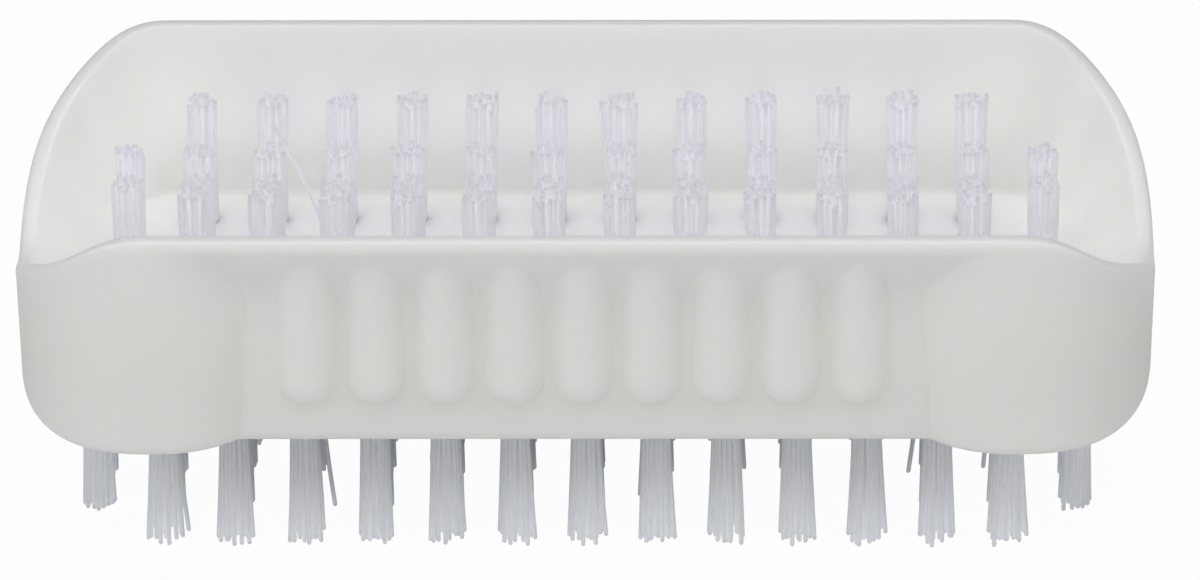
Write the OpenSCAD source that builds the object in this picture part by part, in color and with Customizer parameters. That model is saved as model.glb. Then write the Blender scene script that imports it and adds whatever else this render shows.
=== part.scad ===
// Two-sided nail brush: one moulded block with a pair of raised wings, a ribbed grip on each
// long side, and tufts of bristle set in drilled holes above and below.
// X runs along the brush, Y across it and Z up. The lower bristle tips stand on z = 0.

/* [Block] */
// Length of the block over the rim
body_l = 117.4; // [110:0.2:130]
// Width of the block over the two lips
body_w = 51.8; // [49:0.2:56]
// Thickness from the floor between the wings to the underside
block_t = 9.6; // [8.6:0.1:14]
// Height of the wings above that floor
wing_h = 15.9; // [13:0.1:19]
// How far the outline reaches past the widest point of each lobe
nose_l = 15.2; // [12:0.1:17]
// How much narrower each long side is at the underside
side_draft = 1.4; // [0.4:0.1:2]
// How much shorter each end is at the underside
end_draft = 0.3; // [0.1:0.1:1.2]
// Rounded edge of the underside
edge_r = 1.4; // [0.6:0.1:2]

/* [Wings] */
// Width of the rounded rim
rim_w = 1.3; // [1:0.1:1.8]
// Height of the lip that runs round under the rim
lip_h = 1.8; // [1.4:0.1:2.4]
// How far the rim leans in from the widest line of the lip
lip_lean = 0.2; // [0.05:0.05:0.4]
// How far the lip stands out from the lobes and the ends
lip_proud = 0.1; // [0.05:0.05:0.4]
// How far the lip stands out from the flare over the grip
lip_overhang = 0.2; // [0.1:0.05:0.7]
// Height of the rim above the floor in the middle of each end
end_h = 1.7; // [1:0.1:3.6]
// Width of the flat floor between the wings
floor_w = 34.4; // [32:0.2:36]
// Length of the flat floor
floor_l = 109; // [104:0.5:112]

/* [Grip] */
// Width between the two grip faces
grip_w = 42.2; // [41.2:0.2:44]
// Length of the flat grip face
grip_l = 68; // [64:0.2:71]
// Height of the grip face, from the underside to the start of the flare
grip_h = 16.6; // [12:0.1:18]
// Radius of the lobe where it turns in to the grip
lobe_r = 11.5; // [6:0.5:14]
// Ribs on each grip face
rib_n = 9; // [5:1:9]
// Distance between ribs
rib_pitch = 7.03; // [6.4:0.01:7.1]
// Width of a rib
rib_w = 5.7; // [4:0.1:6]
// How far a rib stands out
rib_proud = 2.3; // [1.2:0.1:2.6]
// Height of a rib's lower end above the underside
rib_lift = 4.8; // [2:0.1:6]

/* [Tufts] */
// Distance between tufts along a row
tuft_pitch = 7.25; // [6.6:0.05:7.4]
// Distance between rows
row_pitch = 7.27; // [6:0.01:8]
// Diameter of a drilled hole
hole_d = 2.9; // [2.4:0.05:3]
// Depth of a drilled hole
hole_depth = 5; // [4:0.1:5.6]
// Free length of the bristle under the block
lower_free = 16.6; // [12:0.1:20]
// Free length of the bristle in the two outer rows above
upper_outer_free = 14.3; // [10:0.1:16]
// Free length of the bristle in the two inner rows above
upper_inner_free = 12.1; // [9:0.1:16]
// Width of one bundle of filaments
strand_w = 0.86; // [0.6:0.02:0.9]
// Lean of the lower bundles, in degrees
lower_splay = 2.3; // [0.5:0.1:3]
// Lean of the upper bundles, in degrees
upper_splay = 1.2; // [0.5:0.1:2.5]
// Difference between the longest and the shortest bundle above
uneven = 0.7; // [0:0.1:1.2]

/* [Anchors] */
// Thickness of the flat wire that holds a tuft
anchor_t = 0.4; // [0.3:0.05:0.5]
// Height of that wire
anchor_h = 1.6; // [1:0.1:2]
// Thickness of the fold of bristle under it
fold_t = 0.6; // [0.4:0.1:1]

/* [Hidden] */

$fn = 48;

// Tufts in each row, above and below, outer and inner
upper_outer_n = 12;
upper_inner_n = 14;
lower_outer_n = 13;
lower_inner_n = 15;

// Clearance of a root in its hole and of an anchor in its root
fit = 0.03;
// Overrun of every cut
over = 1;
// Depth that the lower bundles lose where they are trimmed flat
trim = 0.5;
// How far a rib is let into the wall behind it
let_in = 0.6;

// Heights
base_z = lower_free;
floor_z = base_z + block_t;
top_z = floor_z + wing_h;
end_z = floor_z + end_h;
flare_z = base_z + grip_h;
ledge_z = top_z - lip_h;

// Half sizes and stations in plan
half_l = body_l / 2;
half_w = body_w / 2;
grip_y = grip_w / 2;
crest_x = half_l - nose_l;
flank_l = crest_x - grip_l / 2;
wall_y = half_w - lip_proud;
flare_run = half_w - lip_overhang - grip_y;

// The turn from lobe to grip is two arcs that meet on a tangent over the length flank_l, and
// turn_r is the sum of their radii: a larger lobe_r is held to it, and leaves a sharp valley
full_sink = wall_y - grip_y;
turn_r = (flank_l * flank_l + full_sink * full_sink) / (2 * full_sink);
crest_r = min(lobe_r, turn_r);
valley_r = turn_r - crest_r;

// Corner shapes of the outline and of the floor: a power of 2 is an ellipse, and more is squarer
corner_power = 2.73;
floor_power = 1.35;

// The rim's height at an end rises with the distance from the middle: a straight share and a curved one
trough_share = 0.76;
trough_power = 9.8;
// Softness of the rim's turn in the middle of an end, as a share of the half width
trough_soft_share = 0.1;

// Share of the flare's height that is a hollow curve
flare_curve_share = 0.2;

// The rim is a round that runs on into the inner wall after this turn, in degrees
rim_r = rim_w / 2;
rim_end_turn = 135;
// Share of the lip's height from the rim's top down to its widest line
lip_line_share = 0.72;

// Stations: turn of the corner in degrees, flank and flat as shares of their lengths
corner_steps = 12;
flank_shares = [0.14, 0.28, 0.42, 0.56, 0.7, 0.8, 0.9, 1];
flat_shares = [0.5, 1];

// Heights of the outer rings, as shares of the way from the rounded edge up to the lip
wall_shares = [0.35, 0.62, 0.67, 0.695, 0.72, 0.75, 0.83, 0.91, 1];

// Section of the inner wall, as shares of its run and rise: beside the floor and at the ends
side_run_shares = [0.01, 0.04, 0.12, 0.25, 0.63];
side_rise_shares = [0.06, 0.24, 0.37, 0.48, 0.75];
nose_run_shares = [0.15, 0.34, 0.54, 0.74, 0.9];
nose_rise_shares = [0.04, 0.16, 0.36, 0.6, 0.82];

corner_n = corner_steps + 1;
quarter_n = corner_n + len(flank_shares) + len(flat_shares);

function mix(a, b, share) = a + (b - a) * share;

// Turn of a corner station: 0 at the middle of the end, 90 at the crest of the lobe
function turn(k) = 90 * min(k, corner_steps) / corner_steps;

// Distance of a side station back from the crest
function back(k) =
  k < corner_n ? 0 :
  k < corner_n + len(flank_shares) ? flank_l * flank_shares[k - corner_n] :
  flank_l + grip_l / 2 * flat_shares[k - corner_n - len(flank_shares)];

// Share of the half width that a station reaches on the rim
function reach(k) = pow(sin(turn(k)), 2 / corner_power);

// The same share with its turn at the middle of the end made soft, still 0 there and 1 at the crest
function soft_reach(k) =
  let (s = trough_soft_share)
  (sqrt(reach(k) * reach(k) + s * s) - s) / (sqrt(1 + s * s) - s);

function rim_height(k) =
  let (r = soft_reach(k))
  end_z + (top_z - end_z) * (trough_share * r + (1 - trough_share) * pow(r, trough_power));

// One station of an outline with a given reach, width and corner power
function plan(k, l, w, power) = [
  crest_x - back(k) + (l - crest_x) * pow(cos(turn(k)), 2 / power),
  w * pow(sin(turn(k)), 2 / power)
];

// How far the side has sunk from the lobe at a distance back from the crest, for a full depth
function sink(d, depth) =
  let (
    bend = acos(1 - max(depth, 0) / turn_r),
    run = turn_r * sin(bend)
  )
  d >= run ? max(depth, 0) :
  d <= crest_r * sin(bend) ? crest_r - sqrt(crest_r * crest_r - d * d) :
  depth - valley_r + sqrt(max(valley_r * valley_r - (run - d) * (run - d), 0));

// Distance of the grip face and of the flare over it from the middle plane
function grip_face(z) =
  let (
    rise = (z - flare_z) / (ledge_z - flare_z),
    c = flare_curve_share
  )
  grip_y + flare_run * (rise <= 0 ? 0 : rise < c ? rise * rise / (2 * c) : rise - c / 2) / (1 - c / 2);

// Height of the lip's foot
function foot_z(k) = rim_height(k) - lip_h;

// Outer wall at a height, drawn in by an inset
function wall_point(k, z, inset) =
  let (
    taper = (foot_z(k) - z) / (foot_z(k) - base_z),
    w = wall_y - side_draft * taper - inset,
    l = half_l - lip_proud - end_draft * taper - inset,
    p = plan(k, l, w, corner_power)
  )
  [p.x, p.y - sink(back(k), w - grip_face(z) + inset), z];

// Lip and rim: drawn in from the full outline and lowered from the rim's height
function rim_point(k, inset, drop) =
  let (p = plan(k, half_l - inset, half_w - inset, corner_power))
  [p.x, p.y, rim_height(k) - drop];

// Round of the rim: 0 degrees is its outer side and 90 its top
function rim_arc(k, a) = rim_point(k, lip_lean + rim_r * (1 - cos(a)), rim_r * (1 - sin(a)));

function floor_point(k) =
  let (p = plan(k, floor_l / 2, floor_w / 2, floor_power))
  [p.x, p.y, floor_z];

// Inner wall: ring i of the section between the floor's edge and the rim
function inner_point(k, i) =
  let (
    side = pow(reach(k), 3),
    low = floor_point(k),
    high = rim_arc(k, rim_end_turn),
    run = mix(nose_run_shares[i], side_run_shares[i], side),
    rise = mix(nose_rise_shares[i], side_rise_shares[i], side)
  )
  [mix(low.x, high.x, run), mix(low.y, high.y, run), mix(low.z, high.z, rise)];

// A whole ring from its first quarter, mirrored both ways
function ring(quarter) = let (n = len(quarter) - 1) [
  for (k = [0:n]) quarter[k],
  for (k = [n - 1:-1:0]) [-quarter[k].x, quarter[k].y, quarter[k].z],
  for (k = [1:n]) [-quarter[k].x, -quarter[k].y, quarter[k].z],
  for (k = [n - 1:-1:1]) [quarter[k].x, -quarter[k].y, quarter[k].z]
];

stations = [0:quarter_n - 1];
edge_z = base_z + edge_r;

skin_rings = [
  for (a = [0:30:90])
    ring([for (k = stations) wall_point(k, edge_z - edge_r * cos(a), edge_r * (1 - sin(a)))]),
  for (share = wall_shares) ring([for (k = stations) wall_point(k, mix(edge_z, foot_z(k), share), 0)]),
  ring([for (k = stations) rim_point(k, 0, lip_h * lip_line_share)]),
  for (a = [0:45:rim_end_turn]) ring([for (k = stations) rim_arc(k, a)]),
  for (i = [len(side_run_shares) - 1:-1:0]) ring([for (k = stations) inner_point(k, i)]),
  ring([for (k = stations) floor_point(k)])
];

// Closed skin through a list of rings, with its two ends spanned from side to side
module skin(rings) {
  n = len(rings[0]);
  last = (len(rings) - 1) * n;
  walls = [
    for (r = [0:len(rings) - 2], i = [0:n - 1])
      let (a = r * n + i, b = r * n + (i + 1) % n)
      each [[a, a + n, b], [b, a + n, b + n]]
  ];
  ends = [
    for (i = [0:n / 2 - 1])
      let (a = i, b = i + 1, c = n - i - 1, d = (n - i) % n)
      each [
        if (b != c) [a, b, c],
        if (a != d) [a, c, d],
        if (b != c) [last + a, last + c, last + b],
        if (a != d) [last + a, last + d, last + c]
      ]
  ];
  polyhedron(points = [for (r = rings) each r], faces = concat(walls, ends), convexity = 6);
}

// One rib: an upright round bar with a round lower end
rib_r = (rib_w * rib_w / 4 + rib_proud * rib_proud) / (2 * rib_proud);
rib_low = rib_lift + rib_w / 2;

module rib() {
  rotate_extrude()
    polygon([
      [0, ledge_z - base_z],
      [rib_r, ledge_z - base_z],
      for (a = [0:15:90]) [rib_r * cos(a), rib_low - rib_r * sin(a)]
    ]);
}

// All the ribs of one grip face, kept to the space outside the face and the flare
module ribs() {
  intersection() {
    for (i = [0:rib_n - 1])
      translate([(i - (rib_n - 1) / 2) * rib_pitch, grip_y + rib_proud - rib_r, base_z]) rib();
    translate([-grip_l / 2, 0, 0])
      rotate([90, 0, 90])
        linear_extrude(grip_l)
          polygon([
            [grip_y - let_in, base_z],
            [grip_y - let_in, flare_z],
            [grip_face(ledge_z) - let_in, ledge_z],
            [half_w, ledge_z],
            [half_w, base_z]
          ]);
  }
}

// Places of the tufts in a row of n, at a distance y across
module along_row(n, y) {
  for (i = [0:n - 1])
    translate([(i - (n - 1) / 2) * tuft_pitch, y, 0]) children();
}

// Row distances from the middle plane, front to back
row_y = [-1.5 * row_pitch, -0.5 * row_pitch, 0.5 * row_pitch, 1.5 * row_pitch];

function row_count(outer_n, inner_n, row) = row == 0 || row == 3 ? outer_n : inner_n;

function upper_n(row) = row_count(upper_outer_n, upper_inner_n, row);
function lower_n(row) = row_count(lower_outer_n, lower_inner_n, row);
function upper_free(row) = row_count(upper_outer_free, upper_inner_free, row);

module handle_block() {
  color([0.93, 0.93, 0.92])
    difference() {
      union() {
        skin(skin_rings);
        ribs();
        mirror([0, 1, 0]) ribs();
      }
      for (row = [0:3]) {
        along_row(upper_n(row), row_y[row])
          translate([0, 0, floor_z - hole_depth]) cylinder(h = hole_depth + over, d = hole_d);
        along_row(lower_n(row), row_y[row])
          translate([0, 0, base_z - over]) cylinder(h = hole_depth + over, d = hole_d);
      }
    }
}

// One tuft, standing on its hole's mouth at z = 0: a root with a slot for its anchor, and four
// square bundles of filaments that lean apart
module tuft(free, splay, seed) {
  root_d = hole_d - 2 * fit;
  root_h = hole_depth - fit;
  lengths = rands(0, uneven, 4, seed);
  difference() {
    translate([0, 0, -root_h]) cylinder(h = root_h, d = root_d);
    translate([-hole_d, -anchor_t / 2 - fit, -root_h + fold_t])
      cube([2 * hole_d, anchor_t + 2 * fit, anchor_h + 2 * fit]);
  }
  for (i = [0:3])
    rotate([0, 0, 45 + 90 * i])
      translate([root_d / 2 - strand_w / 2 - fit, 0, 0])
        rotate([0, splay, 0])
          translate([0, 0, -strand_w / 2])
            rotate([0, 0, 45])
              cylinder(h = strand_w / 2 + free - lengths[i], d = strand_w * sqrt(2), $fn = 4);
}

module anchor() {
  width = hole_d - 4 * fit;
  translate([-width / 2, -anchor_t / 2, -hole_depth + fit + fold_t + fit])
    cube([width, anchor_t, anchor_h]);
}

module upper_tufts(row) {
  n = upper_n(row);
  color([0.86, 0.86, 0.9])
    for (i = [0:n - 1])
      translate([(i - (n - 1) / 2) * tuft_pitch, row_y[row], floor_z])
        tuft(upper_free(row), upper_splay, 100 * row + i);
}

module lower_tufts(row) {
  n = lower_n(row);
  color([0.8, 0.81, 0.86])
    difference() {
      along_row(n, row_y[row])
        translate([0, 0, base_z])
          rotate([180, 0, 0]) tuft(lower_free + trim + uneven, lower_splay, row);
      translate([-half_l, -half_w, -2 * trim - 2 * uneven])
        cube([body_l, body_w, 2 * trim + 2 * uneven]);
    }
}

module upper_anchors(row) {
  color("silver")
    along_row(upper_n(row), row_y[row])
      translate([0, 0, floor_z]) anchor();
}

module lower_anchors(row) {
  color("silver")
    along_row(lower_n(row), row_y[row])
      translate([0, 0, base_z])
        rotate([180, 0, 0]) anchor();
}

handle_block();
upper_tufts(0);  // upper_tufts_front
upper_tufts(1);  // upper_tufts_mid_front
upper_tufts(2);  // upper_tufts_mid_back
upper_tufts(3);  // upper_tufts_back
lower_tufts(0);  // lower_tufts_front
lower_tufts(1);  // lower_tufts_mid_front
lower_tufts(2);  // lower_tufts_mid_back
lower_tufts(3);  // lower_tufts_back
upper_anchors(0);  // upper_anchors_front
upper_anchors(1);  // upper_anchors_mid_front
upper_anchors(2);  // upper_anchors_mid_back
upper_anchors(3);  // upper_anchors_back
lower_anchors(0);  // lower_anchors_front
lower_anchors(1);  // lower_anchors_mid_front
lower_anchors(2);  // lower_anchors_mid_back
lower_anchors(3);  // lower_anchors_back
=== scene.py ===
"""Two-sided nail brush: a moulded white block with wings and ribbed grips, and tufts of nylon filament."""
import math
import random

import bpy
import numpy as np
from mathutils import Matrix, Vector
from mathutils.geometry import delaunay_2d_cdt


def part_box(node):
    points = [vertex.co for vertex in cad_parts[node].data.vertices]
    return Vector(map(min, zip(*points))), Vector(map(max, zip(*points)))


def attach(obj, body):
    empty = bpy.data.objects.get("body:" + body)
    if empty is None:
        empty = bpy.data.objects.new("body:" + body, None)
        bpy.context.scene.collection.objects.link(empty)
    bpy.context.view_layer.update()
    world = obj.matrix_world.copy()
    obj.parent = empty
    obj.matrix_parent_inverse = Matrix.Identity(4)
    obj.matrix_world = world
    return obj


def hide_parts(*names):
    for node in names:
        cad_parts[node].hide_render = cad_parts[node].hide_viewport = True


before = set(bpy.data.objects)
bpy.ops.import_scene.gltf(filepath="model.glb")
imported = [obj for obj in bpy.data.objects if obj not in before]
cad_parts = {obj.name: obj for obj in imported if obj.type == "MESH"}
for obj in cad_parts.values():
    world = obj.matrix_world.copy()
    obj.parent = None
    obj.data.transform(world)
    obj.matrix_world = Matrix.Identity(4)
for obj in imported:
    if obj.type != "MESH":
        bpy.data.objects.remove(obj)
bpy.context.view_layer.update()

MM = 0.001

# Least divisor where a length may be nothing, and the distance under which two points are one
TINY = 1e-12
SAME_PLACE = 1e-7

# Sizes of the block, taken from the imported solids
BLOCK_LOW, BLOCK_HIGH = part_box("handle_block")
HALF_L = BLOCK_HIGH[0]
HALF_W = BLOCK_HIGH[1]
BASE_Z = BLOCK_LOW[2]
TOP_Z = BLOCK_HIGH[2]
BLOCK_T = 9.6 * MM
END_RISE = 1.7 * MM
FLOOR_Z = BASE_Z + BLOCK_T
END_Z = FLOOR_Z + END_RISE

# Outline: the crest is the widest place of a lobe, and the powers say how square a corner is
NOSE_L = 15.2 * MM
CREST_X = HALF_L - NOSE_L
CORNER_POWER = 2.73
FLOOR_POWER = 1.8
SIDE_DRAFT = 1.4 * MM
END_DRAFT = 0.3 * MM
EDGE_R = 1.4 * MM

# Lip and rim: the lip is widest nearly halfway down its face and turns in under that, over the grip.
# The shoulder is given as points, each so far in from the outline and so far down from the rim.
LIP_H = 1.8 * MM
LIP_PROUD = 0.04 * MM
LIP_OVERHANG = 0.45 * MM
SHOULDER = [(inset * MM, drop * MM) for inset, drop in (
    (0, 0.8), (0.012, 0.62), (0.04, 0.45), (0.085, 0.3), (0.155, 0.175), (0.255, 0.085), (0.39, 0.03),
    (0.56, 0.005), (0.8, 0), (1.45, 0))]
RIM_TOP = SHOULDER[-1][0]
RIM_R = 0.5 * MM
LEDGE_Z = TOP_Z - LIP_H
WALL_Y = HALF_W - LIP_PROUD

# Floor between the wings
FLOOR_HALF_W = 17.2 * MM
FLOOR_HALF_L = 50.5 * MM
FLOOR_FILLET = 0.7 * MM

# Grip recess, its flare and its ribs
GRIP_Y = 21.1 * MM
GRIP_HALF_L = 34 * MM
FLARE_RISE = 16.6 * MM
FLARE_Z = BASE_Z + FLARE_RISE
FLARE_RUN = HALF_W - LIP_OVERHANG - GRIP_Y
FLARE_CURVE = 0.2
FLANK_L = CREST_X - GRIP_HALF_L
FULL_SINK = WALL_Y - GRIP_Y
TURN_R = (FLANK_L ** 2 + FULL_SINK ** 2) / (2 * FULL_SINK)
LARGEST_LOBE_R = 11.5 * MM
LOBE_R = min(LARGEST_LOBE_R, TURN_R)
VALLEY_R = TURN_R - LOBE_R
RIB_N = 9
RIB_PITCH = 7.03 * MM
RIB_HALF_W = 2.85 * MM
RIB_LOW_PROUD = 2.1 * MM
RIB_HIGH_PROUD = 3.3 * MM
RIB_LIFT = 4.8 * MM
RIB_LOW_Z = BASE_Z + RIB_LIFT + RIB_HALF_W
RIB_OVER_FLARE = 3 * MM
RIB_HIGH_Z = FLARE_Z + RIB_OVER_FLARE
RIB_FILLET = 0.55 * MM
RIB_LEAN_POWER = 1.5
RIB_ROUND_POWER = 0.75

# Inner wall: points of its section as shares of its run and rise, beside the floor and at the ends.
# The higher the section's power, the less of each corner has the section of the sides. The rim's
# round ends near the angle given, and the slope of the wall's top makes it exact.
WALL_FOOT = (0.035, 0.2)
WALL_BEND = (0.061, 0.35)
WALL_SLOPE = (0.37, 0.565)
WALL_FOOT_SHARE, WALL_BEND_SHARE = 0.25, 0.4
NOSE_BEND = (0.5, 0.03)
SIDE_SECTION_POWER = 12
WALL_STEPS = 30
RIM_END_ANGLE = math.radians(147)
ANGLE_ROUNDS = 3

# Rim height over the ends
TROUGH_SHARE = 0.76
TROUGH_POWER = 9.8
TROUGH_SOFT = 0.1

# Stations round a ring, in a quarter of it. The first turn is split, because the outline runs
# fastest there.
TURN_STEPS = 48
FIRST_TURN_SHARES = (0.25, 0.5, 0.75)
FLANK_STEPS = 26
RIB_STEPS = 9
RIB_MARGIN = 0.2 * MM
RIB_GAP_SHARES = (1 / 3, 2 / 3)
LAST_RIB_STATION = GRIP_HALF_L - 1.5 * MM
GRIP_END_STATION = GRIP_HALF_L - 0.7 * MM

# Rings up the block. The wall's rings are closer where the ribs end and where the flare begins,
# at heights above the rounded edge.
EDGE_STEPS = 8
WALL_STEP = 0.8 * MM
WALL_FINE_STEP = 0.3 * MM
SHORTEST_STEP = 0.25 * MM
RIB_END_LOW, RIB_END_HIGH = 2.6 * MM, 7.5 * MM
FLARE_START = 13.5 * MM
LIP_STEPS = 5
RIM_STEPS = 6
FILLET_STEPS = 5
FILLET_WALL_SHARE = 0.85

# Tufts
PITCH = 7.25 * MM
ROW_PITCH = 7.27 * MM
ROW_NAMES = ("front", "mid_front", "mid_back", "back")
ROW_Y = [(row - 1.5) * ROW_PITCH for row in range(4)]
UPPER_COUNTS = (12, 14, 14, 12)
LOWER_COUNTS = (13, 15, 15, 13)
HOLE_R = 1.45 * MM
HOLE_DEPTH = 5 * MM
HOLE_EDGE = 0.05 * MM
HOLE_EDGE_SHARE = 0.3
HOLE_TIP = 0.5 * HOLE_R
HOLE_SIDES = 24
OPEN_SHARE = 0.97
FILAMENT_R = 0.235 * MM
FILAMENT_SIDES = 6
FILAMENT_RINGS = ((1.2 * MM, 16), (0.74 * MM, 9), (0.27 * MM, 3))
PAIRS = sum(count for _, count in FILAMENT_RINGS) // 2
UNEVEN = 1.1 * MM
UNEVEN_POWER = 1.3
WANDER = 0.12 * MM
LEAN_LOW, LEAN_HIGH = 0.9, 1.1
SPLAYED_SHARE, SPLAY = 0.06, 1.4
BOW_POWER = 1.35
LEG_SHARES = (0, 0.2, 0.42, 0.62, 0.8, 1)
ANCHOR_HALF_T = 0.2 * MM
FOLD_T = 0.6 * MM
FOLD_GAP = 0.05 * MM
FOLD_SHARES = (0.25, 0.75)
ROOT_SQUEEZE = 0.8

# Rounded end of a filament, as distances back from the tip and radii, both in filament radii
END_ROUND = ((2.2, 1.0), (0.9, 1.0), (0.45, 0.86), (0.12, 0.55), (0, 0.2))
CUT_RINGS = 4
# Attribute that marks the filaments' cut ends, where the nylon gets painted shade
SHADED_END_ATTRIBUTE = "shaded_cut_end"

# How much wider a tuft is at its tips than at its foot
UPPER_SPREAD = 1.12
LOWER_OUTER_SPREAD = 1.42
LOWER_INNER_SPREAD = 1.12

# Loose filaments of a row, by tuft and pair in the tuft: place of the tip in the tuft's own frame
STRAYS = {
    "upper_tufts_mid_back": {(3, 0): (-7 * MM, 0.9 * MM, 14.2 * MM)},
    "lower_tufts_mid_front": {(3, 13): (2.7 * MM, 0, 16.6 * MM)},
    "lower_tufts_mid_back": {(12, 0): (-2.8 * MM, 0, 16.6 * MM)},
}

# Colours, roughness, and how deep and in which colours the plastic glows
BLOCK_COLOR = (0.92, 0.914, 0.898)
BLOCK_COLOR_WARM = (0.912, 0.904, 0.884)
UPPER_COLOR = (0.987, 0.987, 1.0)
UPPER_COLOR_COOL = (0.981, 0.981, 0.999)
LOWER_COLOR = (0.984, 0.99, 1.0)
LOWER_COLOR_COOL = (0.976, 0.984, 0.999)
# Painted shade: a darker colour on the cut ends, standing in for the shade of the clear tips under the top
# light
CUT_END_SHADE_COLOR = (0.935, 0.928, 0.96)
CLEAR_TINT = (0.988, 0.993, 1.0)
UPPER_CLEAR_SHARE = 0.91
LOWER_CLEAR_SHARE = 0.985
TRANSLUCENT_SHARE = 0.5
WIRE_COLOR = (0.62, 0.62, 0.63)
BLOCK_ROUGHNESS, BLOCK_ROUGHNESS_RANGE = 0.39, (0.34, 0.44)
NYLON_ROUGHNESS, NYLON_ROUGHNESS_RANGE = 0.35, (0.28, 0.42)
WIRE_ROUGHNESS, WIRE_ROUGHNESS_RANGE = 0.32, (0.25, 0.42)
GLOW_DEPTH = 4.5 * MM
GLOW_RADII = (1.0, 0.98, 0.82)


# Mesh building

class Shape:
    """Points and faces of one mesh, added to in numbered blocks."""

    def __init__(self):
        self.points = []
        self.faces = []

    def add(self, points):
        """Adds points and gives their numbers."""
        start = len(self.points)
        self.points.extend([tuple(p) for p in points])
        return list(range(start, start + len(points)))

    def band(self, low, high):
        """Quads between two closed rings of the same length."""
        n = len(low)
        for i in range(n):
            j = (i + 1) % n
            self.faces.append((low[i], low[j], high[j], high[i]))

    def object(self, name, material, sharp_degrees=40):
        """The shape as an object of the scene, smooth but for edges sharper than the angle."""
        mesh = bpy.data.meshes.new(name)
        mesh.from_pydata(self.points, [], self.faces)
        mesh.validate()
        mesh.materials.append(material)
        mesh.shade_smooth()
        mesh.set_sharp_from_angle(angle=math.radians(sharp_degrees))
        obj = bpy.data.objects.new(name, mesh)
        bpy.context.scene.collection.objects.link(obj)
        return obj


# Form of the block

def reach(turn):
    """Share of the half width that the outline has reached at a turn."""
    return np.sin(turn) ** (2 / CORNER_POWER)


def rim_height(turn):
    """Height of the rim: low in the middle of an end, where turn is 0, and level along the wings."""
    r = reach(turn)
    r = (np.sqrt(r * r + TROUGH_SOFT ** 2) - TROUGH_SOFT) / (math.sqrt(1 + TROUGH_SOFT ** 2) - TROUGH_SOFT)
    return END_Z + (TOP_Z - END_Z) * (TROUGH_SHARE * r + (1 - TROUGH_SHARE) * r ** TROUGH_POWER)


def plan(turn, back, length, width, power=CORNER_POWER):
    """Outline point of every station: x and y."""
    x = CREST_X - back + (length - CREST_X) * np.abs(np.cos(turn)) ** (2 / power)
    y = width * np.sin(turn) ** (2 / power)
    return x, y


def sink(d, depth):
    """How far a side lies in from the lobe, at a distance d back from the crest."""
    depth = np.maximum(depth, 0)
    bend = np.arccos(1 - depth / TURN_R)
    run = TURN_R * np.sin(bend)
    lobe = LOBE_R - np.sqrt(np.maximum(LOBE_R ** 2 - d * d, 0))
    valley = depth - VALLEY_R + np.sqrt(np.maximum(VALLEY_R ** 2 - (run - d) ** 2, 0))
    return np.where(d >= run, depth, np.where(d <= LOBE_R * np.sin(bend), lobe, valley))


def grip_face(z):
    """How far out the grip lies: upright, then bent over into the straight flare below the lip."""
    rise = (z - FLARE_Z) / (LEDGE_Z - FLARE_Z)
    c = FLARE_CURVE
    bent = np.where(rise <= 0, 0, np.where(rise < c, rise * rise / (2 * c), rise - c / 2))
    return GRIP_Y + FLARE_RUN * bent / (1 - c / 2)


def soft_max(a, b, r):
    """The larger of two heights, with a fillet of about r where they cross."""
    h = np.clip(0.5 + 0.5 * (a - b) / r, 0, 1)
    return b + (a - b) * h + r * h * (1 - h)


def ribs_over(x, y, z):
    """Raises the grip face to the ribs.

    Their crests lean out as they rise, and their lower ends are steeper than their flanks.
    """
    place = np.clip(np.round(x / RIB_PITCH), -(RIB_N // 2), RIB_N // 2) * RIB_PITCH
    across = x - place
    below = np.maximum(RIB_LOW_Z - z, 0)
    share = np.clip((z - RIB_LOW_Z) / (RIB_HIGH_Z - RIB_LOW_Z), 0, 1)
    proud = RIB_LOW_PROUD + (RIB_HIGH_PROUD - RIB_LOW_PROUD) * share ** RIB_LEAN_POWER
    reached = np.hypot(across, below) / RIB_HALF_W
    downward = below ** 2 / np.maximum(across ** 2 + below ** 2, TINY)
    soft = np.maximum(1 - reached ** 2, 0) ** RIB_ROUND_POWER
    steep = np.sqrt(np.maximum(1 - reached ** 2, 0))
    rib = GRIP_Y + proud * (soft + (steep - soft) * downward) - np.maximum(reached - 1, 0) * RIB_HALF_W
    return soft_max(rib, y, RIB_FILLET)


def stations():
    """Turn and distance back of every station in a quarter, from mid-end to mid-side.

    Those over the ribs are rounded, so that two in one place count once.
    """
    turns = [math.pi / 2 * (i / TURN_STEPS) for i in range(TURN_STEPS + 1)]
    turns = turns[:1] + [turns[1] * share for share in FIRST_TURN_SHARES] + turns[1:]
    flank = [FLANK_L * i / FLANK_STEPS for i in range(1, FLANK_STEPS + 1)]
    foot = RIB_HALF_W + RIB_MARGIN
    xs = set()
    for rib in range(RIB_N // 2 + 1):
        for step in range(-RIB_STEPS, RIB_STEPS + 1):
            xs.add(round(rib * RIB_PITCH + foot * math.sin(math.pi / 2 * step / RIB_STEPS), 7))
        for share in RIB_GAP_SHARES:
            xs.add(round(rib * RIB_PITCH + foot + (RIB_PITCH - 2 * foot) * share, 7))
    side = [x for x in sorted(xs, reverse=True) if 0 <= x < LAST_RIB_STATION]
    side = [CREST_X - x for x in [GRIP_END_STATION] + side]
    turn = np.array(turns + [math.pi / 2] * (len(flank) + len(side)))
    back = np.array([0.0] * len(turns) + flank + side)
    return turn, back


def whole_ring(x, y, z):
    """A ring from its first quarter, mirrored both ways."""
    q = np.stack([x, y, z], axis=1)
    return np.concatenate([
        q,
        q[-2::-1] * [-1, 1, 1],
        q[1:] * [-1, -1, 1],
        q[-2:0:-1] * [1, -1, 1],
    ])


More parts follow.
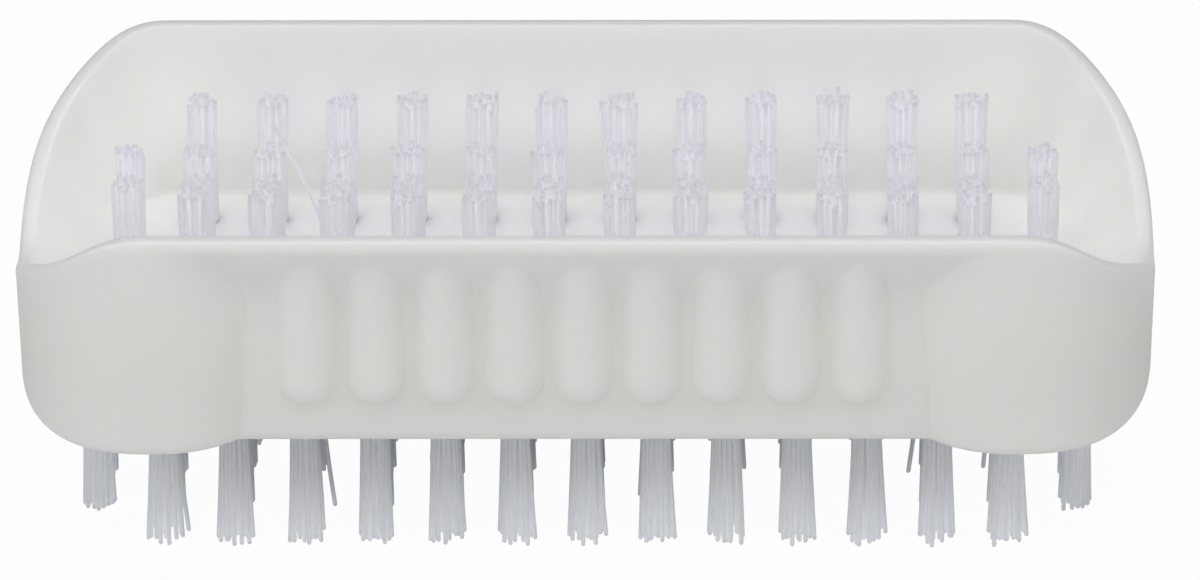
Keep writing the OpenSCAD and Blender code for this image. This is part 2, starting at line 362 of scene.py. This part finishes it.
def wall_ring(turn, back, z, inset=0.0):
    """Outer wall at the heights z, with its draft, the grip recess, the flare and the ribs."""
    foot_z = rim_height(turn) - LIP_H
    taper = (foot_z - z) / (foot_z - BASE_Z)
    width = WALL_Y - SIDE_DRAFT * taper - inset
    length = HALF_L - LIP_PROUD - END_DRAFT * taper - inset
    x, y = plan(turn, back, length, width)
    y = y - sink(back, width - grip_face(z) + inset)
    y = np.where(back > 0, ribs_over(x, y, z), y)
    return x, y, z


def rim_ring(turn, back, inset, drop):
    """Lip and rim: drawn in from the full outline and lowered from the rim's height."""
    x, y = plan(turn, back, HALF_L - inset, HALF_W - inset)
    return x, y, rim_height(turn) - drop


def rim_round(turn, back, angle):
    """Inner half of the rim's round: 90 degrees is its top, and the inner wall starts past it."""
    return rim_ring(turn, back, RIM_TOP - RIM_R * np.cos(angle), RIM_R * (1 - np.sin(angle)))


def bezier(a, b, c, t):
    """Place at t on the curve from a to c that b pulls on."""
    return (1 - t) ** 2 * a + 2 * t * (1 - t) * b + t * t * c


def wall_section():
    """Section of the inner wall beside the floor and at the ends, as shares of its run and rise."""
    side = []
    nose = []
    bend_end = WALL_FOOT_SHARE + WALL_BEND_SHARE
    for i in range(WALL_STEPS + 1):
        t = i / WALL_STEPS
        if t < WALL_FOOT_SHARE:
            u = t / WALL_FOOT_SHARE
            side.append([foot * u for foot in WALL_FOOT])
        elif t < bend_end:
            u = (t - WALL_FOOT_SHARE) / WALL_BEND_SHARE
            side.append([bezier(*place, u) for place in zip(WALL_FOOT, WALL_BEND, WALL_SLOPE)])
        else:
            u = (t - bend_end) / (1 - bend_end)
            side.append([slope + (1 - slope) * u for slope in WALL_SLOPE])
        nose.append([bezier(0, bend, 1, t) for bend in NOSE_BEND])
    return side, nose


def inner_rings(turn, back):
    """Rings up the inner wall, and the angle at which the rim's round runs into them.

    The angle follows from the slope of the wall's top, which moves with it, so it is found in rounds.
    """
    low_x, low_y = plan(turn, back, FLOOR_HALF_L, FLOOR_HALF_W, FLOOR_POWER)
    side, nose = wall_section()
    share = reach(turn) ** SIDE_SECTION_POWER
    angle = np.full(len(turn), RIM_END_ANGLE)
    for _ in range(ANGLE_ROUNDS):
        high_x, high_y, high_z = rim_round(turn, back, angle)
        rings = []
        for (side_run, side_rise), (nose_run, nose_rise) in zip(side, nose):
            run = nose_run + (side_run - nose_run) * share
            rise = nose_rise + (side_rise - nose_rise) * share
            x = low_x + (high_x - low_x) * run
            y = low_y + (high_y - low_y) * run
            rings.append((x, y, FLOOR_Z + (high_z - FLOOR_Z) * rise))
        step = np.stack(rings[-1], axis=1) - np.stack(rings[-2], axis=1)
        angle = math.pi - np.arctan2(np.hypot(step[:, 0], step[:, 1]), step[:, 2])
    return rings, angle


def places_along(count):
    """Places along the block of the tufts of one row."""
    return [(i - (count - 1) / 2) * PITCH for i in range(count)]


def hole_places(counts):
    """Middles of the holes of all four rows."""
    return [(x, y) for count, y in zip(counts, ROW_Y) for x in places_along(count)]


def circle(x, y, z, r):
    """Points round a hole."""
    angles = [2 * math.pi * k / HOLE_SIDES for k in range(HOLE_SIDES)]
    return [(x + r * math.cos(a), y + r * math.sin(a), z) for a in angles]


def pierced_face(shape, border, z, up, places):
    """A flat face inside a border ring, with drilled holes that go down into the block from it.

    The face is filled round the mouths of the holes, and what lies inside a mouth is left open.
    """
    coords = [Vector(shape.points[i][:2]) for i in border]
    edges = [(i, (i + 1) % len(border)) for i in range(len(border))]
    index = list(border)
    mouth_r = HOLE_R + HOLE_EDGE
    edge = HOLE_EDGE_SHARE * HOLE_EDGE
    for x, y in places:
        section = [(mouth_r, 0), (HOLE_R + edge, edge), (HOLE_R, HOLE_EDGE), (HOLE_R, HOLE_DEPTH)]
        rings = [shape.add(circle(x, y, z - up * depth, r)) for r, depth in section]
        for upper, lower in zip(rings, rings[1:]):
            if up > 0:
                shape.band(lower, upper)
            else:
                shape.band(upper, lower)
        tip = shape.add([(x, y, z - up * (HOLE_DEPTH + HOLE_TIP))])[0]
        last = rings[-1]
        for k in range(HOLE_SIDES):
            a, b = last[k], last[(k + 1) % HOLE_SIDES]
            shape.faces.append((a, b, tip) if up < 0 else (b, a, tip))
        start = len(coords)
        coords.extend(Vector(shape.points[i][:2]) for i in rings[0])
        index.extend(rings[0])
        edges.extend((start + k, start + (k + 1) % HOLE_SIDES) for k in range(HOLE_SIDES))
    points, _, faces, origin, _, _ = delaunay_2d_cdt(coords, edges, [], 1, SAME_PLACE)
    real = [index[o[0]] for o in origin]
    centres = np.array(places)
    for face in faces:
        middle = sum((points[i] for i in face), Vector((0, 0))) / len(face)
        if np.hypot(centres[:, 0] - middle.x, centres[:, 1] - middle.y).min() < mouth_r * OPEN_SHARE:
            continue
        corners = [points[i] for i in face]
        turn = (corners[1] - corners[0]).cross(corners[2] - corners[0])
        loop = [real[i] for i in face]
        shape.faces.append(tuple(loop if turn * up > 0 else reversed(loop)))


def edge_rings(turn, back):
    """Rings of the rounded edge at the underside."""
    rings = []
    for step in range(EDGE_STEPS + 1):
        a = math.pi / 2 * step / EDGE_STEPS
        z = np.full(len(turn), BASE_Z + EDGE_R * (1 - math.cos(a)))
        rings.append(wall_ring(turn, back, z, EDGE_R * (1 - math.sin(a))))
    return rings


def wall_rings(turn, back):
    """Rings up the outer wall to the lip."""
    edge_z = BASE_Z + EDGE_R
    wall_h = LEDGE_Z - edge_z
    heights = []
    z = 0
    while z < wall_h - SHORTEST_STEP:
        fine = RIB_END_LOW < z < RIB_END_HIGH or z > FLARE_START
        z += WALL_FINE_STEP if fine else WALL_STEP
        heights.append(min(z, wall_h))
    heights[-1] = wall_h
    foot_z = rim_height(turn) - LIP_H
    return [wall_ring(turn, back, edge_z + (foot_z - edge_z) * h / wall_h) for h in heights]


def lip_rings(turn, back, wall_top):
    """Rings of the lip: out from the wall to its widest line, then over to the top of the rim."""
    wall_top = np.stack(wall_top, axis=1)
    lip_line = np.stack(rim_ring(turn, back, *SHOULDER[0]), axis=1)
    rings = []
    for step in range(1, LIP_STEPS + 1):
        up = step / LIP_STEPS
        out = 1 - (1 - up) ** 2
        rings.append(tuple((wall_top + (lip_line - wall_top) * [out, out, up]).T))
    return rings + [rim_ring(turn, back, inset, drop) for inset, drop in SHOULDER[1:]]


def rim_rings(turn, back, end_angle):
    """Rings of the inner half of the rim's round, short of the first ring of the inner wall."""
    turned = end_angle - math.pi / 2
    return [rim_round(turn, back, math.pi / 2 + turned * step / RIM_STEPS) for step in range(1, RIM_STEPS)]


def fillet_rings(turn, back, inner):
    """Rings of the fillet between inner wall and floor, smaller where the wall rises slowly."""
    foot, first, second = (np.stack(ring, axis=1) for ring in inner[:3])
    wall = first - foot
    wall = wall / np.linalg.norm(wall, axis=1)[:, None]
    fillet = np.minimum(FLOOR_FILLET, FILLET_WALL_SHARE * np.linalg.norm(second - foot, axis=1))
    rings = []
    for step in range(FILLET_STEPS + 1):
        t = 1 - step / FILLET_STEPS
        r = fillet * (1 - t) ** 2
        x, y = plan(turn, back, FLOOR_HALF_L - r, FLOOR_HALF_W - r, FLOOR_POWER)
        up = (fillet * t * t)[:, None] * wall
        rings.append((x + up[:, 0], y + up[:, 1], foot[:, 2] + up[:, 2]))
    return rings


def make_block(material):
    """The whole moulding, in rings from the underside over the rim to the floor between the wings."""
    turn, back = stations()
    inner, end_angle = inner_rings(turn, back)
    rings = edge_rings(turn, back) + wall_rings(turn, back)
    rings += lip_rings(turn, back, rings[-1])
    rings += rim_rings(turn, back, end_angle)
    rings += inner[:1:-1] + fillet_rings(turn, back, inner)

    shape = Shape()
    loops = [shape.add(whole_ring(*ring)) for ring in rings]
    for low, high in zip(loops, loops[1:]):
        shape.band(low, high)
    pierced_face(shape, loops[-1], FLOOR_Z, 1, hole_places(UPPER_COUNTS))
    pierced_face(shape, loops[0], BASE_Z, -1, hole_places(LOWER_COUNTS))
    block = shape.object("moulded_block", material)
    block.modifiers.new("even_shading", "WEIGHTED_NORMAL").keep_sharp = True
    return block


# Tufts

def packed_places(rng):
    """Places of the filaments in a hole, packed in rings, as pairs that face each other over the anchor."""
    places = []
    for r, n in FILAMENT_RINGS:
        phase = rng.uniform(0, 2 * math.pi)
        places += [(r * math.cos(phase + 2 * math.pi * i / n), r * math.sin(phase + 2 * math.pi * i / n))
                   for i in range(n)]
    places.sort(key=lambda p: p[1])
    near = sorted(places[:PAIRS])
    far = sorted(places[PAIRS:])
    return list(zip(near, far))


def leg(place, free, spread, rng, tip=None):
    """Half a filament from the anchor to its tip, in the tuft's own frame with the mouth at z = 0."""
    x, y = place
    side = 1 if y > 0 else -1
    root = (x, side * max(abs(y) * ROOT_SQUEEZE, ANCHOR_HALF_T + FILAMENT_R), -HOLE_DEPTH + FOLD_T)
    length = free - rng.uniform(0, 1) ** UNEVEN_POWER * UNEVEN
    if tip is None:
        wander = rng.gauss(0, WANDER), rng.gauss(0, WANDER)
        lean = spread * rng.uniform(LEAN_LOW, LEAN_HIGH)
        if rng.random() < SPLAYED_SHARE:
            lean *= SPLAY
        tip = (x * lean + wander[0], y * lean + wander[1], length)
    points = [root]
    for share in LEG_SHARES:
        bow = share ** BOW_POWER
        points.append((x + (tip[0] - x) * bow, y + (tip[1] - y) * bow, tip[2] * share))
    return points


def tube(points, radii):
    """Rings of a filament round its points."""
    p = np.array(points)
    t = np.gradient(p, axis=0)
    t /= np.linalg.norm(t, axis=1)[:, None]
    side = np.array([1.0, 0.0, 0.0]) - t[:, :1] * t
    side /= np.linalg.norm(side, axis=1)[:, None]
    other = np.cross(t, side)
    angles = 2 * math.pi * np.arange(FILAMENT_SIDES) / FILAMENT_SIDES
    ring = side[:, None] * np.cos(angles)[None, :, None] + other[:, None] * np.sin(angles)[None, :, None]
    return p[:, None] + ring * np.array(radii)[:, None, None]


def with_tip(points):
    """Replaces the last point by the few that round a filament's end, and gives the radii."""
    end, before = np.array(points[-1]), np.array(points[-2])
    d = (end - before) / np.linalg.norm(end - before)
    path = list(points[:-1]) + [tuple(end - d * FILAMENT_R * back) for back, _ in END_ROUND]
    radii = [FILAMENT_R] * (len(points) - 1) + [FILAMENT_R * r for _, r in END_ROUND]
    return path, radii


def folded_filament(near, far, free, spread, rng, tip):
    """Rings of one filament from tip to tip, folded round the anchor, in the tuft's own frame."""
    a, a_radii = with_tip(leg(near, free, spread, rng, tip))
    b, b_radii = with_tip(leg(far, free, spread, rng))
    fold_z = -HOLE_DEPTH + FILAMENT_R + FOLD_GAP
    fold = [((a[0][0] + b[0][0]) / 2, share * b[0][1] + (1 - share) * a[0][1], fold_z)
            for share in FOLD_SHARES]
    return tube(a[::-1] + fold + b, a_radii[::-1] + [FILAMENT_R] * len(fold) + b_radii)


def make_tufts(name, counts, row, mouth_z, up, free, spread, material, strays):
    """One row of tufts, each with its own seed.

    Each filament carries its cut ends as an attribute, where its material paints shade on them.
    """
    shape = Shape()
    shaded_cut_end = []
    for i, x in enumerate(places_along(counts[row])):
        rng = random.Random(1000 * row + (500 if up > 0 else 0) + i)
        for number, (near, far) in enumerate(packed_places(rng)):
            rings = folded_filament(near, far, free, spread, rng, strays.get((i, number)))
            plain = len(rings) - 2 * CUT_RINGS
            for share, count in ((1.0, CUT_RINGS), (0.0, plain), (1.0, CUT_RINGS)):
                shaded_cut_end += [share] * count * FILAMENT_SIDES
            loops = [shape.add(ring) for ring in rings * [1, 1, up] + [x, ROW_Y[row], mouth_z]]
            if up < 0:
                loops = [loop[::-1] for loop in loops]
            for low, high in zip(loops, loops[1:]):
                shape.band(low, high)
            shape.faces.append(tuple(loops[0][::-1]))
            shape.faces.append(tuple(loops[-1]))
    tufts = shape.object(name, material, sharp_degrees=75)
    tufts.data.attributes.new(SHADED_END_ATTRIBUTE, "FLOAT", "POINT").data.foreach_set("value", shaded_cut_end)
    return tufts


# Materials

def principled(name, color, roughness):
    """A material with its node tree and its main shader."""
    material = bpy.data.materials.new(name)
    material.use_nodes = True
    shader = material.node_tree.nodes["Principled BSDF"]
    shader.inputs["Base Color"].default_value = (*color, 1)
    shader.inputs["Roughness"].default_value = roughness
    return material, material.node_tree, shader


def noise(tree, scale, detail):
    """Noise in the object's own space, as a value from 0 to 1."""
    place = tree.nodes.new("ShaderNodeTexCoord")
    node = tree.nodes.new("ShaderNodeTexNoise")
    node.inputs["Scale"].default_value = scale
    node.inputs["Detail"].default_value = detail
    tree.links.new(place.outputs["Object"], node.inputs["Vector"])
    return node.outputs["Fac"]


def ramp(tree, value, low, high):
    """A value from 0 to 1, spread from low to high."""
    node = tree.nodes.new("ShaderNodeMapRange")
    node.inputs["To Min"].default_value = low
    node.inputs["To Max"].default_value = high
    tree.links.new(value, node.inputs["Value"])
    return node.outputs["Result"]


def product(tree, value, factor):
    """A value times a number."""
    node = tree.nodes.new("ShaderNodeMath")
    node.operation = "MULTIPLY"
    node.inputs[1].default_value = factor
    tree.links.new(value, node.inputs[0])
    return node.outputs[0]


def mix_color(tree, share, a, b):
    """Colour a turned into b by a share. Colour a may be another node's result."""
    node = tree.nodes.new("ShaderNodeMix")
    node.data_type = "RGBA"
    if isinstance(a, tuple):
        node.inputs["A"].default_value = (*a, 1)
    else:
        tree.links.new(a, node.inputs["A"])
    node.inputs["B"].default_value = (*b, 1)
    tree.links.new(share, node.inputs["Factor"])
    return node.outputs["Result"]


def mix_shaders(tree, share, a, b):
    """Shader a turned into b by a share, which is a number or another node's result."""
    node = tree.nodes.new("ShaderNodeMixShader")
    if isinstance(share, float):
        node.inputs[0].default_value = share
    else:
        tree.links.new(share, node.inputs[0])
    tree.links.new(a.outputs[0], node.inputs[1])
    tree.links.new(b.outputs[0], node.inputs[2])
    return node


def bump(tree, shader, height, strength, distance):
    """Fine unevenness that only the light shows."""
    node = tree.nodes.new("ShaderNodeBump")
    node.inputs["Strength"].default_value = strength
    node.inputs["Distance"].default_value = distance
    tree.links.new(height, node.inputs["Height"])
    tree.links.new(node.outputs["Normal"], shader.inputs["Normal"])


def block_plastic():
    """White moulded plastic: a soft gloss, faint cloudiness, and the slight unevenness of a mould."""
    material, tree, shader = principled("block_plastic", BLOCK_COLOR, BLOCK_ROUGHNESS)
    cloudy = mix_color(tree, noise(tree, scale=60, detail=3), BLOCK_COLOR, BLOCK_COLOR_WARM)
    tree.links.new(cloudy, shader.inputs["Base Color"])
    rough = ramp(tree, noise(tree, scale=240, detail=3), *BLOCK_ROUGHNESS_RANGE)
    tree.links.new(rough, shader.inputs["Roughness"])
    bump(tree, shader, noise(tree, scale=900, detail=2), strength=0.12, distance=0.02 * MM)
    shader.inputs["Subsurface Weight"].default_value = 1
    shader.inputs["Subsurface Radius"].default_value = GLOW_RADII
    shader.inputs["Subsurface Scale"].default_value = GLOW_DEPTH
    return material


def filament_nylon(name, color, cool, clear_share):
    """Clear-white nylon with a faint blue cast, and painted shade that darkens its cut ends.

    The clear share of the lamp light passes each surface, so a tuft is bright to its middle.
    """
    material, tree, shader = principled(name, color, NYLON_ROUGHNESS)
    ends = tree.nodes.new("ShaderNodeAttribute")
    ends.attribute_name = SHADED_END_ATTRIBUTE
    tinted = mix_color(tree, noise(tree, scale=400, detail=2), color, cool)
    # Painted shade on the cut ends, by the attribute that marks them
    tinted = mix_color(tree, ends.outputs["Fac"], tinted, CUT_END_SHADE_COLOR)
    tree.links.new(tinted, shader.inputs["Base Color"])
    rough = ramp(tree, noise(tree, scale=900, detail=1), *NYLON_ROUGHNESS_RANGE)
    tree.links.new(rough, shader.inputs["Roughness"])
    through = tree.nodes.new("ShaderNodeBsdfTranslucent")
    tree.links.new(tinted, through.inputs["Color"])
    clear = tree.nodes.new("ShaderNodeBsdfTransparent")
    clear.inputs["Color"].default_value = (*CLEAR_TINT, 1)
    body = mix_shaders(tree, TRANSLUCENT_SHARE, shader, through)
    seen = tree.nodes.new("ShaderNodeLightPath")
    blend = mix_shaders(tree, product(tree, seen.outputs["Is Shadow Ray"], clear_share), body, clear)
    tree.links.new(blend.outputs[0], tree.nodes["Material Output"].inputs["Surface"])
    return material


def drawn_wire():
    """Flat steel wire with fine marks."""
    material, tree, shader = principled("drawn_wire", WIRE_COLOR, WIRE_ROUGHNESS)
    shader.inputs["Metallic"].default_value = 1.0
    rough = ramp(tree, noise(tree, scale=3000, detail=2), *WIRE_ROUGHNESS_RANGE)
    tree.links.new(rough, shader.inputs["Roughness"])
    bump(tree, shader, noise(tree, scale=3000, detail=2), strength=0.2, distance=0.01 * MM)
    return material


# Pieces

block = make_block(block_plastic())
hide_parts("handle_block")
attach(block, "root")

nylon = {
    "upper": filament_nylon("upper_nylon", UPPER_COLOR, UPPER_COLOR_COOL, UPPER_CLEAR_SHARE),
    "lower": filament_nylon("lower_nylon", LOWER_COLOR, LOWER_COLOR_COOL, LOWER_CLEAR_SHARE),
}
levels = {"upper": (UPPER_COUNTS, FLOOR_Z, 1), "lower": (LOWER_COUNTS, BASE_Z, -1)}
for row, row_name in enumerate(ROW_NAMES):
    for level, (counts, mouth_z, up) in levels.items():
        node = f"{level}_tufts_{row_name}"
        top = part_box(node)[1][2]
        free = top - FLOOR_Z if up > 0 else BASE_Z
        lower_spread = LOWER_OUTER_SPREAD if row in (0, 3) else LOWER_INNER_SPREAD
        spread = UPPER_SPREAD if up > 0 else lower_spread
        tufts = make_tufts(f"{level}_filaments_{row_name}", counts, row, mouth_z, up, free, spread,
                           nylon[level], STRAYS.get(node, {}))
        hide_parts(node)
        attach(tufts, "root")

wire = drawn_wire()
for level in levels:
    for row_name in ROW_NAMES:
        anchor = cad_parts[f"{level}_anchors_{row_name}"]
        anchor.data.materials.clear()
        anchor.data.materials.append(wire)


# Camera, in the place that the photograph was taken from, and the studio's floor, lamps and world

ELEVATION = math.radians(27.27)
YAW = 0.0173
ROLL = 0.00846
DISTANCE = 1178 * MM
PIXELS_PER_METRE = 9650
FRAME_W = 1200
FRAME_H = 580
AIM = Vector((0, 0, 21 * MM))
AIM_PIXEL = (586.53, 310.61)
SENSOR_W = 36
CLIP_END = 10
STAGE_HALF_W = 3.0
STAGE_WHITE = 0.82
STAGE_GLOW_SHARE = 0.97
WORLD_LIGHT = 0.11
LAMP_AIM = Vector((0, 0, 20 * MM))

# Lamps: place, width and height in metres, and power in watts
LAMPS = {
    "top": ((0, 0.05, 0.9), (0.8, 0.6), 3.25),
    "front_top": ((0, -0.5, 0.85), (0.8, 0.5), 1.75),
    "key": ((-0.7, -0.5, 0.6), (0.6, 0.6), 1.78),
    "fill": ((0.7, -0.45, 0.6), (0.6, 0.6), 1.38),
    "front": ((-0.25, -0.95, 0.16), (0.8, 0.4), 0.97),
}


def make_camera():
    """The camera looks past the aim, which it shows at the aim's pixel of the frame."""
    away = Vector((
        math.cos(ELEVATION) * math.sin(YAW),
        -math.cos(ELEVATION) * math.cos(YAW),
        math.sin(ELEVATION),
    ))
    level = Vector((math.cos(YAW), math.sin(YAW), 0))
    steep = away.cross(level)
    right = level * math.cos(ROLL) - steep * math.sin(ROLL)
    up = level * math.sin(ROLL) + steep * math.cos(ROLL)
    centre = AIM + right * (FRAME_W / 2 - AIM_PIXEL[0]) / PIXELS_PER_METRE
    centre += up * (AIM_PIXEL[1] - FRAME_H / 2) / PIXELS_PER_METRE
    data = bpy.data.cameras.new("camera")
    data.sensor_fit = "HORIZONTAL"
    data.sensor_width = SENSOR_W
    data.lens = SENSOR_W * PIXELS_PER_METRE * DISTANCE / FRAME_W
    data.clip_end = CLIP_END
    camera = bpy.data.objects.new("camera", data)
    camera.matrix_world = Matrix((right, up, away)).transposed().to_4x4()
    camera.location = centre + away * DISTANCE
    bpy.context.scene.collection.objects.link(camera)
    bpy.context.scene.camera = camera


def make_floor():
    """A white sheet that shows white to the camera and keeps a soft shadow."""
    mesh = bpy.data.meshes.new("floor")
    r = STAGE_HALF_W
    mesh.from_pydata([(-r, -r, 0), (r, -r, 0), (r, r, 0), (-r, r, 0)], [], [(0, 1, 2, 3)])
    material = bpy.data.materials.new("floor_white")
    material.use_nodes = True
    tree = material.node_tree
    tree.nodes.clear()
    diffuse = tree.nodes.new("ShaderNodeBsdfDiffuse")
    diffuse.inputs["Color"].default_value = (STAGE_WHITE, STAGE_WHITE, STAGE_WHITE, 1)
    glow = tree.nodes.new("ShaderNodeEmission")
    glow.inputs["Strength"].default_value = 1
    seen = tree.nodes.new("ShaderNodeLightPath")
    either = tree.nodes.new("ShaderNodeMath")
    either.operation = "MAXIMUM"
    tree.links.new(seen.outputs["Is Camera Ray"], either.inputs[0])
    tree.links.new(seen.outputs["Is Transmission Ray"], either.inputs[1])
    blend = mix_shaders(tree, product(tree, either.outputs[0], STAGE_GLOW_SHARE), diffuse, glow)
    out = tree.nodes.new("ShaderNodeOutputMaterial")
    tree.links.new(blend.outputs[0], out.inputs["Surface"])
    mesh.materials.append(material)
    floor = bpy.data.objects.new("floor", mesh)
    bpy.context.scene.collection.objects.link(floor)


def make_lamp(name, place, size, watts):
    """A lamp with a lit rectangle that faces the brush."""
    data = bpy.data.lights.new(name, "AREA")
    data.shape = "RECTANGLE"
    data.size, data.size_y = size
    data.energy = watts
    lamp = bpy.data.objects.new(name, data)
    lamp.location = place
    lamp.rotation_euler = (LAMP_AIM - Vector(place)).to_track_quat("-Z", "Y").to_euler()
    bpy.context.scene.collection.objects.link(lamp)


def make_world():
    """Soft white light from all sides, in a room that the camera sees as white."""
    world = bpy.data.worlds.new("studio")
    bpy.context.scene.world = world
    world.use_nodes = True
    tree = world.node_tree
    light = tree.nodes["Background"]
    light.inputs["Color"].default_value = (1, 1, 1, 1)
    light.inputs["Strength"].default_value = WORLD_LIGHT
    white = tree.nodes.new("ShaderNodeBackground")
    white.inputs["Color"].default_value = (1, 1, 1, 1)
    white.inputs["Strength"].default_value = 1
    seen = tree.nodes.new("ShaderNodeLightPath")
    blend = mix_shaders(tree, seen.outputs["Is Camera Ray"], light, white)
    tree.links.new(blend.outputs[0], tree.nodes["World Output"].inputs["Surface"])


make_camera()
make_floor()
make_world()
for name, (place, size, watts) in LAMPS.items():
    make_lamp(name, place, size, watts)

bpy.context.scene.view_settings.view_transform = "Standard"
